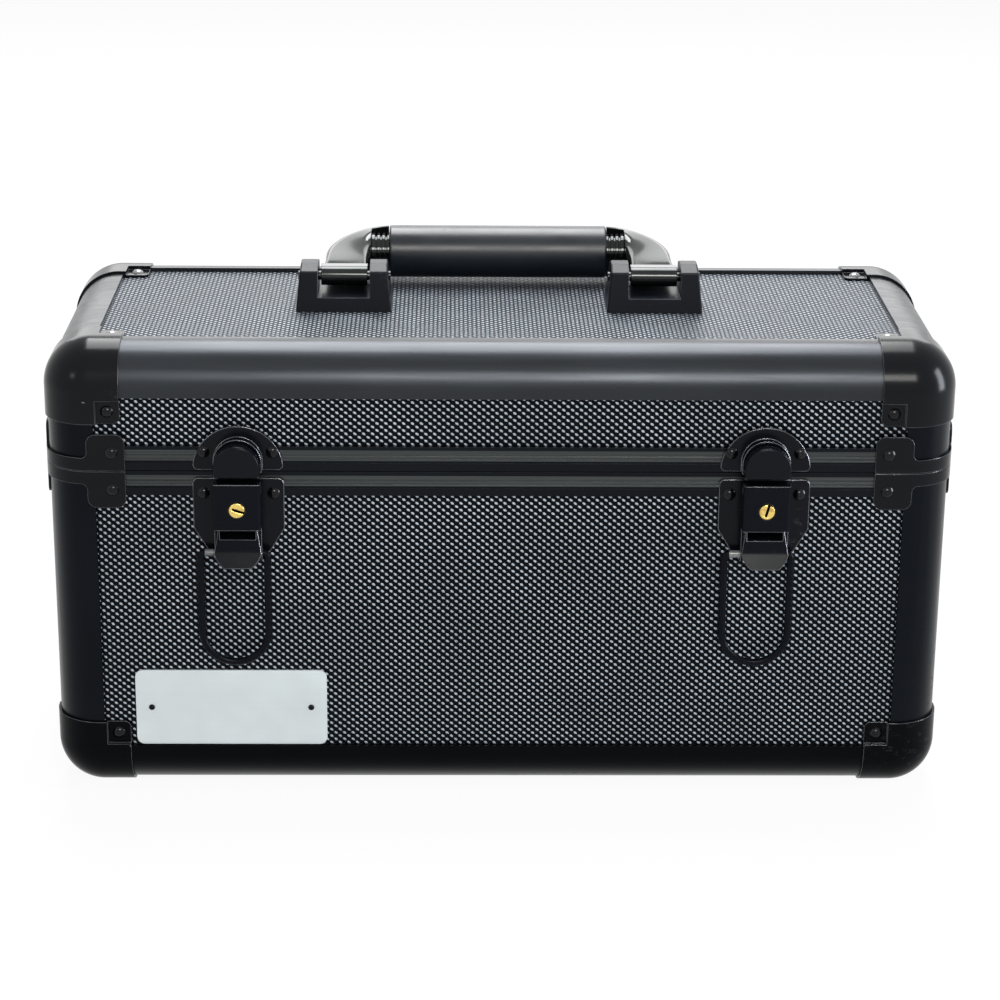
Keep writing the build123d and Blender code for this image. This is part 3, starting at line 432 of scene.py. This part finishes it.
def anodised(name, colour, stretch, ribs=None, gloss=0.3):
    """Anodised aluminium, faintly brushed along one axis, with ribs where it has them painted
    paler in streaks, a painted sheen.
    """
    finish = Finish(name)
    brushed = finish.grain(420.0, 3.0, finish.stretched(stretch), 0.6)
    cloud = finish.grain(14.0, 2.0)
    shade = finish.mix(cloud.ramp(0.3, 0.7), colour, scaled(colour, 1.18))
    if ribs is not None:
        parting, rib_sheen = ribs
        start, end = RIBS_FROM_PARTING
        from_parting = (finish.axes()[2] - parting).size()
        band = from_parting.above(start) * from_parting.below(end)
        # Painted sheen: the band of ribs is painted paler, in streaks along them.
        worn = finish.grain(300.0, 2.0, finish.stretched((0.01, 0.01, 6.0)), 0.6)
        shade = finish.mix(band * worn.ramp(0.3, 0.7, 0.55, 1.0), shade, rib_sheen)
    finish.set(Base_Color=shade, Metallic=0.85, Specular_IOR_Level=gloss,
               Roughness=brushed.ramp(0.3, 0.7, 0.27, 0.35) + scuffs(finish) * 0.15,
               Normal=finish.bump(brushed, 0.012 * MM, finish.rounded(0.25 * MM)))
    return finish


class CARDCASE_OT_extrusions(Operator):
    """Anodises the edge extrusions, the posts and the ribbed closing extrusions"""

    bl_idname = "cardcase.extrusions"
    bl_label = "Extrusions"

    def execute(self, context):
        colours = context.scene.case_colours
        top = anodised("Anodised top rails", colours.extrusion, ALONG_X)
        # The bottom rails are darker still: painted shade.
        bottom = anodised("Anodised bottom rails with painted shade", scaled(colours.shaded_extrusion, 0.4), ALONG_X, gloss=0.12)
        parting = (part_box("base_valance_rails")[1].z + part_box("lid_valance_rails")[0].z) / 2
        # The ribbed rails and the posts take the darker copy of the extrusion colour: painted
        # shade.
        ribbed = anodised("Ribbed rails with painted shade and sheen", colours.shaded_extrusion, ALONG_X, (parting, colours.rib_sheen))
        posts = anodised("Anodised posts with painted shade", colours.shaded_extrusion, ALONG_Z, gloss=0.12)
        top.give("lid_top_rails")
        bottom.give("base_bottom_rails")
        ribbed.give("base_valance_rails", "lid_valance_rails")
        posts.give("base_corner_posts", "lid_corner_posts")
        return {"FINISHED"}


# Black steel


def black_steel(name, colour, rough, edge, scuffed, gloss=0.11, edge_highlight=0.7, nicks=0.0,
                bare=BARE_AND_HIGHLIGHT_STEEL, top_highlight_above=None):
    """Black coated steel with rounded edges painted paler and metallic in patches (a painted
    highlight), scuffs and a little orange peel.

    The arguments after the gloss set, in order: how strongly the edges are painted paler and
    metallic, a painted highlight; how bright the chips are, which bare the steel; the paler metal
    of both; and the height over which the coat is painted paler and metallic, a painted highlight
    on rivet heads.
    """
    finish = Finish(name)
    peel = finish.grain(700.0, 2.0)
    cloud = finish.grain(30.0, 3.0)
    marks = scuffs(finish, 16.0)
    rounded = finish.rounded(edge)
    # Painted highlight: the edges are painted paler and metallic in patches.
    worn = finish.edges(rounded) * finish.grain(120.0, 3.0).ramp(0.3, 0.6, 0.45, 1.0) * edge_highlight
    shade = finish.mix(marks * 0.35, colour, scuffed)
    if nicks:
        ragged = finish.grain(1500.0, 2.0) * 0.12
        chips = finish.cells(190.0, finish.stretched((0.6, 1.0, 1.5))) + ragged
        worn = worn.larger(chips.below(0.13) * finish.grain(31.0, 2.0).above(0.57) * nicks)
    # Painted highlight: above that height the coat is painted paler and metallic.
    if top_highlight_above is not None:
        worn = worn.larger(finish.axes()[2].above(top_highlight_above) * TOP_RIVET_HIGHLIGHT)
    finish.set(Base_Color=finish.mix(worn, shade, bare), Metallic=worn, Specular_IOR_Level=gloss,
               Roughness=cloud.ramp(0.3, 0.7, rough, rough + 0.06) + marks * 0.2,
               Normal=finish.bump(peel, 0.005 * MM, rounded))
    return finish


class CARDCASE_OT_steelwork(Operator):
    """Coats the corner caps, the braces, the hinges and the rivets"""

    bl_idname = "cardcase.steelwork"
    bl_label = "Caps, braces and hinges"

    def execute(self, context):
        colours = context.scene.case_colours
        high = black_steel("Cap steel", colours.cap, 0.15, EDGE_ROUNDING, SCUFFED_COAT,
                           gloss=0.14, edge_highlight=0.8, nicks=0.9)
        # The base's corner caps are a darker copy of the lid's, with darker scuffs and less gloss:
        # painted shade.
        low = black_steel("Base cap steel with painted shade", scaled(colours.cap, 0.6), 0.19, EDGE_ROUNDING,
                          (0.05, 0.053, 0.057), gloss=0.04, edge_highlight=0.8, nicks=0.9)
        strip = black_steel("Brace steel", colours.cap, 0.17, EDGE_ROUNDING, SCUFFED_COAT,
                            gloss=0.13, edge_highlight=0.8)
        for body, caps in (("base", low), ("lid", high)):
            strip.give(f"{body}_corner_braces", f"hinge_{body}_leaves")
            for place in ("front", "back"):
                caps.give(f"{body}_cap_{place}_left", f"{body}_cap_{place}_right")
        # The rivet heads over the lid's top are painted paler and metallic: a painted highlight.
        rivet = black_steel("Rivet black", scaled(colours.cap, 0.8), 0.12, 0.2 * MM,
                            (0.1, 0.1, 0.11), gloss=0.2, edge_highlight=0, bare=colours.steel,
                            top_highlight_above=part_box("lid_top_panel")[1].z)
        rivet.give("base_rivets", "lid_rivets")
        bright = Finish("Bright pin steel")
        turned = bright.grain(500.0, 2.0, bright.stretched((3.0, 0.3, 0.3)))
        bright.set(Base_Color=bright.mix(turned.ramp(0.3, 0.7), colours.steel,
                                         scaled(colours.steel, 0.8)),
                   Metallic=1.0, Roughness=turned.ramp(0.3, 0.7, 0.18, 0.3),
                   Normal=bright.bump(turned, 0.004 * MM, bright.rounded(0.3 * MM)))
        bright.give("hinge_pins")
        return {"FINISHED"}


class CARDCASE_OT_latches(Operator):
    """Finishes the latch plates, levers, keepers, pins and key plugs"""

    bl_idname = "cardcase.latches"
    bl_label = "Latches"

    def execute(self, context):
        colours = context.scene.case_colours
        # The latches' edges are painted paler and metallic: a painted highlight.
        plated = black_steel("Latch black", colours.latch, 0.18, LATCH_EDGE_ROUNDING,
                             SCUFFED_COAT, edge_highlight=0.9, bare=LATCH_EDGE_HIGHLIGHT)
        lever = black_steel("Lever black", scaled(colours.latch, 1.2), 0.20, LATCH_EDGE_ROUNDING,
                            (0.04, 0.042, 0.045), gloss=0.06, edge_highlight=0.9, bare=LATCH_EDGE_HIGHLIGHT)
        for side in ("left", "right"):
            plated.give(f"latch_{side}_base_plate", f"latch_{side}_keeper",
                        f"latch_{side}_hinge_pin")
            lever.give(f"latch_{side}_lever")
            self.plug(side, colours).give(f"latch_{side}_key_plug")
            self.wire(side, colours).give(f"latch_{side}_bail")
        return {"FINISHED"}

    def plug(self, side, colours):
        """Polished brass, tarnished in patches; the keyway and the plug's sides behind its face
        are painted near black, a painted shade.
        """
        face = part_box(f"latch_{side}_key_plug")[0].y
        brass = Finish(f"Key plug brass {side}")
        turned = brass.grain(900.0, 3.0)
        tarnish = brass.grain(420.0, 1.0).ramp(0.42, 0.66)
        # Painted shade: deeper than the face, the brass is painted near black.
        shaded_depth = (brass.axes()[1] - face).ramp(KEYWAY_SHADE_FROM, KEYWAY_SHADE_FULL)
        shade = brass.mix(tarnish * 0.6, colours.brass, TARNISH)
        brass.set(Base_Color=brass.mix(shaded_depth, shade, KEYWAY_SHADE), Metallic=1.0,
                  Roughness=turned.ramp(0.3, 0.7, 0.14, 0.24),
                  Normal=brass.bump(turned, 0.004 * MM, brass.rounded(0.7 * MM)))
        return brass

    def wire(self, side, colours):
        """Blackened wire, worn bright on the ends that turn in the lever."""
        low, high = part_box(f"latch_{side}_bail")
        middle = (low.x + high.x) / 2
        tips = (high.x - low.x) / 2 - BAIL_LEG
        finish = Finish(f"Bail wire {side}")
        x, _, z = finish.axes()
        ends = (x - middle).size().below(tips) * z.above(high.z - BAIL_END_DEPTH)
        worn = finish.grain(220.0, 3.0)
        bare = ends * worn.ramp(0.25, 0.55) * 0.3
        drawn = finish.grain(600.0, 2.0)
        finish.set(Base_Color=finish.mix(bare, colours.latch, colours.steel), Metallic=bare,
                   Roughness=drawn.ramp(0.3, 0.7, 0.2, 0.3) + bare * 0.1, Specular_IOR_Level=0.06,
                   Normal=finish.bump(drawn, 0.006 * MM))
        return finish


# Handle


class CARDCASE_OT_handle(Operator):
    """Finishes the handle's brackets, arms and grip"""

    bl_idname = "cardcase.handle"
    bl_label = "Handle"

    def execute(self, context):
        colours = context.scene.case_colours
        bracket = black_steel("Bracket black", colours.bracket, 0.28, EDGE_ROUNDING,
                              (0.10, 0.11, 0.13), edge_highlight=0.6)
        bracket.give("handle_bracket_left", "handle_bracket_right")
        plated = Finish("Plated arms")
        cloud = plated.grain(60.0, 3.0)
        marks = scuffs(plated, 20.0)
        plated.set(Base_Color=plated.mix(cloud.ramp(0.3, 0.7), colours.arm,
                                         scaled(colours.arm, 1.2)),
                   Metallic=0.9, Specular_IOR_Level=0.3,
                   Roughness=cloud.ramp(0.3, 0.7, 0.07, 0.11) + marks * 0.12,
                   Normal=plated.bump(cloud, 0.01 * MM, plated.rounded(0.5 * MM)))
        plated.give("handle_arm_left", "handle_arm_right", "handle_core", "handle_pins")
        moulded = Finish("Moulded grip")
        leather = moulded.cells(1500.0)
        cloud = moulded.grain(50.0, 3.0)
        moulded.set(Base_Color=moulded.mix(cloud.ramp(0.3, 0.7), colours.grip,
                                           scaled(colours.grip, 1.3)),
                    Roughness=cloud.ramp(0.3, 0.7, 0.30, 0.38) + scuffs(moulded, 22.0) * 0.1,
                    Specular_IOR_Level=0.38,
                    Normal=moulded.bump(leather, 0.012 * MM, moulded.rounded(0.5 * MM)))
        moulded.give("handle_grip")
        return {"FINISHED"}


# Name plate


class CARDCASE_OT_name_plate(Operator):
    """Finishes the bare name plate and its two pins"""

    bl_idname = "cardcase.name_plate"
    bl_label = "Name plate"

    def execute(self, context):
        colours = context.scene.case_colours
        finish = Finish("Name plate aluminium")
        brushed = finish.grain(380.0, 4.0, finish.stretched((0.05, 1.0, 1.4)), 0.65)
        cloud = finish.grain(40.0, 2.0)
        finish.set(Base_Color=finish.mix(cloud.ramp(0.3, 0.7), colours.name_plate,
                                         scaled(colours.name_plate, 0.9)),
                   Metallic=0.55, Roughness=brushed.ramp(0.3, 0.7, 0.42, 0.55),
                   Normal=finish.bump(brushed, 0.01 * MM, finish.rounded(0.3 * MM)))
        finish.give("name_plate")
        pins = black_steel("Name plate pins", colours.cap, 0.25, 0.2 * MM, (0.2, 0.2, 0.2))
        pins.give("name_plate_pins")
        return {"FINISHED"}


# Foam


def foam_finish(colours):
    """Closed-cell foam, with fine pores darkened by painted shade, and paler in random patches."""
    finish = Finish("Lining foam")
    # Painted shade: the pores are darker.
    pores = finish.cells(620.0).ramp(0.10, 0.50)
    cloud = finish.grain(45.0, 3.0)
    fine = finish.grain(1400.0, 2.0)
    # Random tone, plus the painted shade of the pores.
    lit = cloud.ramp(0.3, 0.7) * 0.35 + fine * 0.25 + pores * 0.4
    shade = finish.mix(lit, scaled(colours.foam, 0.35), scaled(colours.foam, 1.9))
    finish.set(Base_Color=shade, Roughness=0.95, Sheen_Weight=0.25, Sheen_Roughness=0.5,
               Normal=finish.bump(pores + fine * 0.3, 0.3 * MM))
    return finish.material


def round_edges(mesh, edges, radius, segments):
    """Rounds edges of a mesh."""
    bmesh.ops.bevel(mesh, geom=edges, offset=radius, offset_type="OFFSET", affect="EDGES",
                    segments=segments, profile=0.5, material=-1)


def foam_block(name, corner, edge):
    """A block of foam inside its solid, with soft edges and a slightly uneven skin."""
    low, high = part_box(name)
    mesh = bmesh.new()
    bmesh.ops.create_cube(mesh, size=1.0)
    bmesh.ops.scale(mesh, vec=high - low, verts=mesh.verts)
    bmesh.ops.translate(mesh, vec=(low + high) / 2, verts=mesh.verts)
    if corner:
        upright = [e for e in mesh.edges if abs(e.verts[0].co.z - e.verts[1].co.z) > 1e-6]
        round_edges(mesh, upright, corner, FOAM_CORNER_STEPS)
    sharp = [e for e in mesh.edges if e.calc_face_angle(0) > FOAM_SHARP_ANGLE]
    round_edges(mesh, sharp, edge, FOAM_EDGE_STEPS)
    while long_edges := [e for e in mesh.edges if e.calc_length() > FOAM_LONGEST_EDGE]:
        bmesh.ops.subdivide_edges(mesh, edges=long_edges, cuts=1, use_grid_fill=True)
    bmesh.ops.triangulate(mesh, faces=[f for f in mesh.faces if len(f.verts) > 4])
    mesh.normal_update()
    for v in mesh.verts:
        inward = 0.5 + 0.5 * noise.noise(v.co * FOAM_DENTS)
        v.co -= v.normal * inward * FOAM_SKIN
    data = bpy.data.meshes.new(f"{name}_soft")
    mesh.to_mesh(data)
    mesh.free()
    data.shade_smooth()
    piece = bpy.data.objects.new(f"{name}_soft", data)
    bpy.context.scene.collection.objects.link(piece)
    return piece


class CARDCASE_OT_foam(Operator):
    """Lines the case with foam walls, pads and dividers"""

    bl_idname = "cardcase.foam"
    bl_label = "Foam"

    def execute(self, context):
        sizes = context.scene.case_sizes
        material = foam_finish(context.scene.case_colours)
        for name in sorted(nodes):
            if not name.startswith("foam_"):
                continue
            corner = PAD_CORNER if name.endswith("pad") else 0
            piece = foam_block(name, corner, sizes.foam_edge)
            paint(piece, material)
            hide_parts(name)
            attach(piece, "lid" if "lid" in name else "case_base")
        return {"FINISHED"}


# Stage


def softbox(name, place, width, height, power, tint):
    """A rectangular lamp that faces the case."""
    lamp = bpy.data.lights.new(name, "AREA")
    lamp.shape = "RECTANGLE"
    lamp.size, lamp.size_y = width, height
    lamp.energy = power
    lamp.color = tint
    holder = bpy.data.objects.new(name, lamp)
    holder.location = place
    aim = Vector(LAMP_TARGET) - Vector(place)
    holder.rotation_euler = aim.to_track_quat("-Z", "Y").to_euler()
    bpy.context.scene.collection.objects.link(holder)


class CARDCASE_OT_stage(Operator):
    """Sets the pale floor, the soft lamps and the camera at the photograph's angle"""

    bl_idname = "cardcase.stage"
    bl_label = "Stage"

    def execute(self, context):
        self.floor()
        for lamp in LAMPS:
            softbox(*lamp)
        self.world(context)
        self.camera(context)
        return {"FINISHED"}

    def floor(self):
        mesh = bmesh.new()
        bmesh.ops.create_grid(mesh, x_segments=1, y_segments=1, size=FLOOR_HALF)
        data = bpy.data.meshes.new("floor")
        mesh.to_mesh(data)
        mesh.free()
        floor = bpy.data.objects.new("floor", data)
        bpy.context.scene.collection.objects.link(floor)
        finish = Finish("Pale floor")
        finish.set(Base_Color=(0.9, 0.9, 0.9, 1), Roughness=0.9, Specular_IOR_Level=0.1)
        glow = finish.node("ShaderNodeEmission", {}, {"Color": (1, 1, 1, 1)})
        finish.blend_out("Material Output", finish.seen() * FLOOR_WHITE,
                         Reading(finish, finish.shader.outputs[0]), glow)
        paint(floor, finish.material)

    def world(self, context):
        world = bpy.data.worlds.new("studio")
        context.scene.world = world
        studio = Shading(world)
        dim = Reading(studio, studio.tree.nodes["Background"].outputs[0])
        studio.fill(dim.socket.node.inputs["Color"], (0.95, 0.97, 1.0, 1))
        studio.fill(dim.socket.node.inputs["Strength"], 0.25)
        white = studio.node("ShaderNodeBackground", {}, {"Color": (1, 1, 1, 1), "Strength": 1.0})
        studio.blend_out("World Output", studio.seen(), dim, white)

    def camera(self, context):
        ahead = Vector((math.sin(YAW) * math.cos(PITCH), math.cos(YAW) * math.cos(PITCH),
                        -math.sin(PITCH)))
        level = Vector((math.cos(YAW), -math.sin(YAW), 0.0))
        above = level.cross(ahead)
        right = math.cos(ROLL) * level + math.sin(ROLL) * above
        up = math.cos(ROLL) * above - math.sin(ROLL) * level
        lens = bpy.data.cameras.new("camera")
        lens.sensor_width = 36.0
        lens.lens = FOCAL_WIDTHS * lens.sensor_width
        lens.clip_start, lens.clip_end = 0.05, 50.0
        holder = bpy.data.objects.new("camera", lens)
        turn = Matrix((right, up, -ahead)).transposed().to_4x4()
        holder.matrix_world = Matrix.Translation(CAMERA_PLACE) @ turn
        context.scene.collection.objects.link(holder)
        context.scene.camera = holder
        context.scene.view_settings.view_transform = "Standard"


# Panel in the sidebar


OPERATORS = (
    CARDCASE_OT_panels,
    CARDCASE_OT_extrusions,
    CARDCASE_OT_steelwork,
    CARDCASE_OT_latches,
    CARDCASE_OT_handle,
    CARDCASE_OT_name_plate,
    CARDCASE_OT_foam,
    CARDCASE_OT_stage,
)


class CARDCASE_PT_sidebar(Panel):
    """Lists the steps that dress the case."""

    bl_idname = "CARDCASE_PT_sidebar"
    bl_label = "Card case"
    bl_space_type = "VIEW_3D"
    bl_region_type = "UI"
    bl_category = "Card case"

    def draw(self, context):
        for group in (context.scene.case_sizes, context.scene.case_colours):
            for name in group.bl_rna.properties.keys():
                if name not in {"rna_type", "name"}:
                    self.layout.prop(group, name)
        for operator in OPERATORS:
            self.layout.operator(operator.bl_idname)


CLASSES = (CaseColours, CaseSizes, *OPERATORS, CARDCASE_PT_sidebar)


def register():
    for cls in CLASSES:
        bpy.utils.register_class(cls)
    bpy.types.Scene.case_colours = PointerProperty(type=CaseColours)
    bpy.types.Scene.case_sizes = PointerProperty(type=CaseSizes)


def unregister():
    del bpy.types.Scene.case_sizes
    del bpy.types.Scene.case_colours
    for cls in reversed(CLASSES):
        bpy.utils.unregister_class(cls)


def main():
    """Registers the add-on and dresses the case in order."""
    register()
    for operator in OPERATORS:
        group, step = operator.bl_idname.split(".")
        getattr(getattr(bpy.ops, group), step)()


if __name__ == "__main__":
    main()
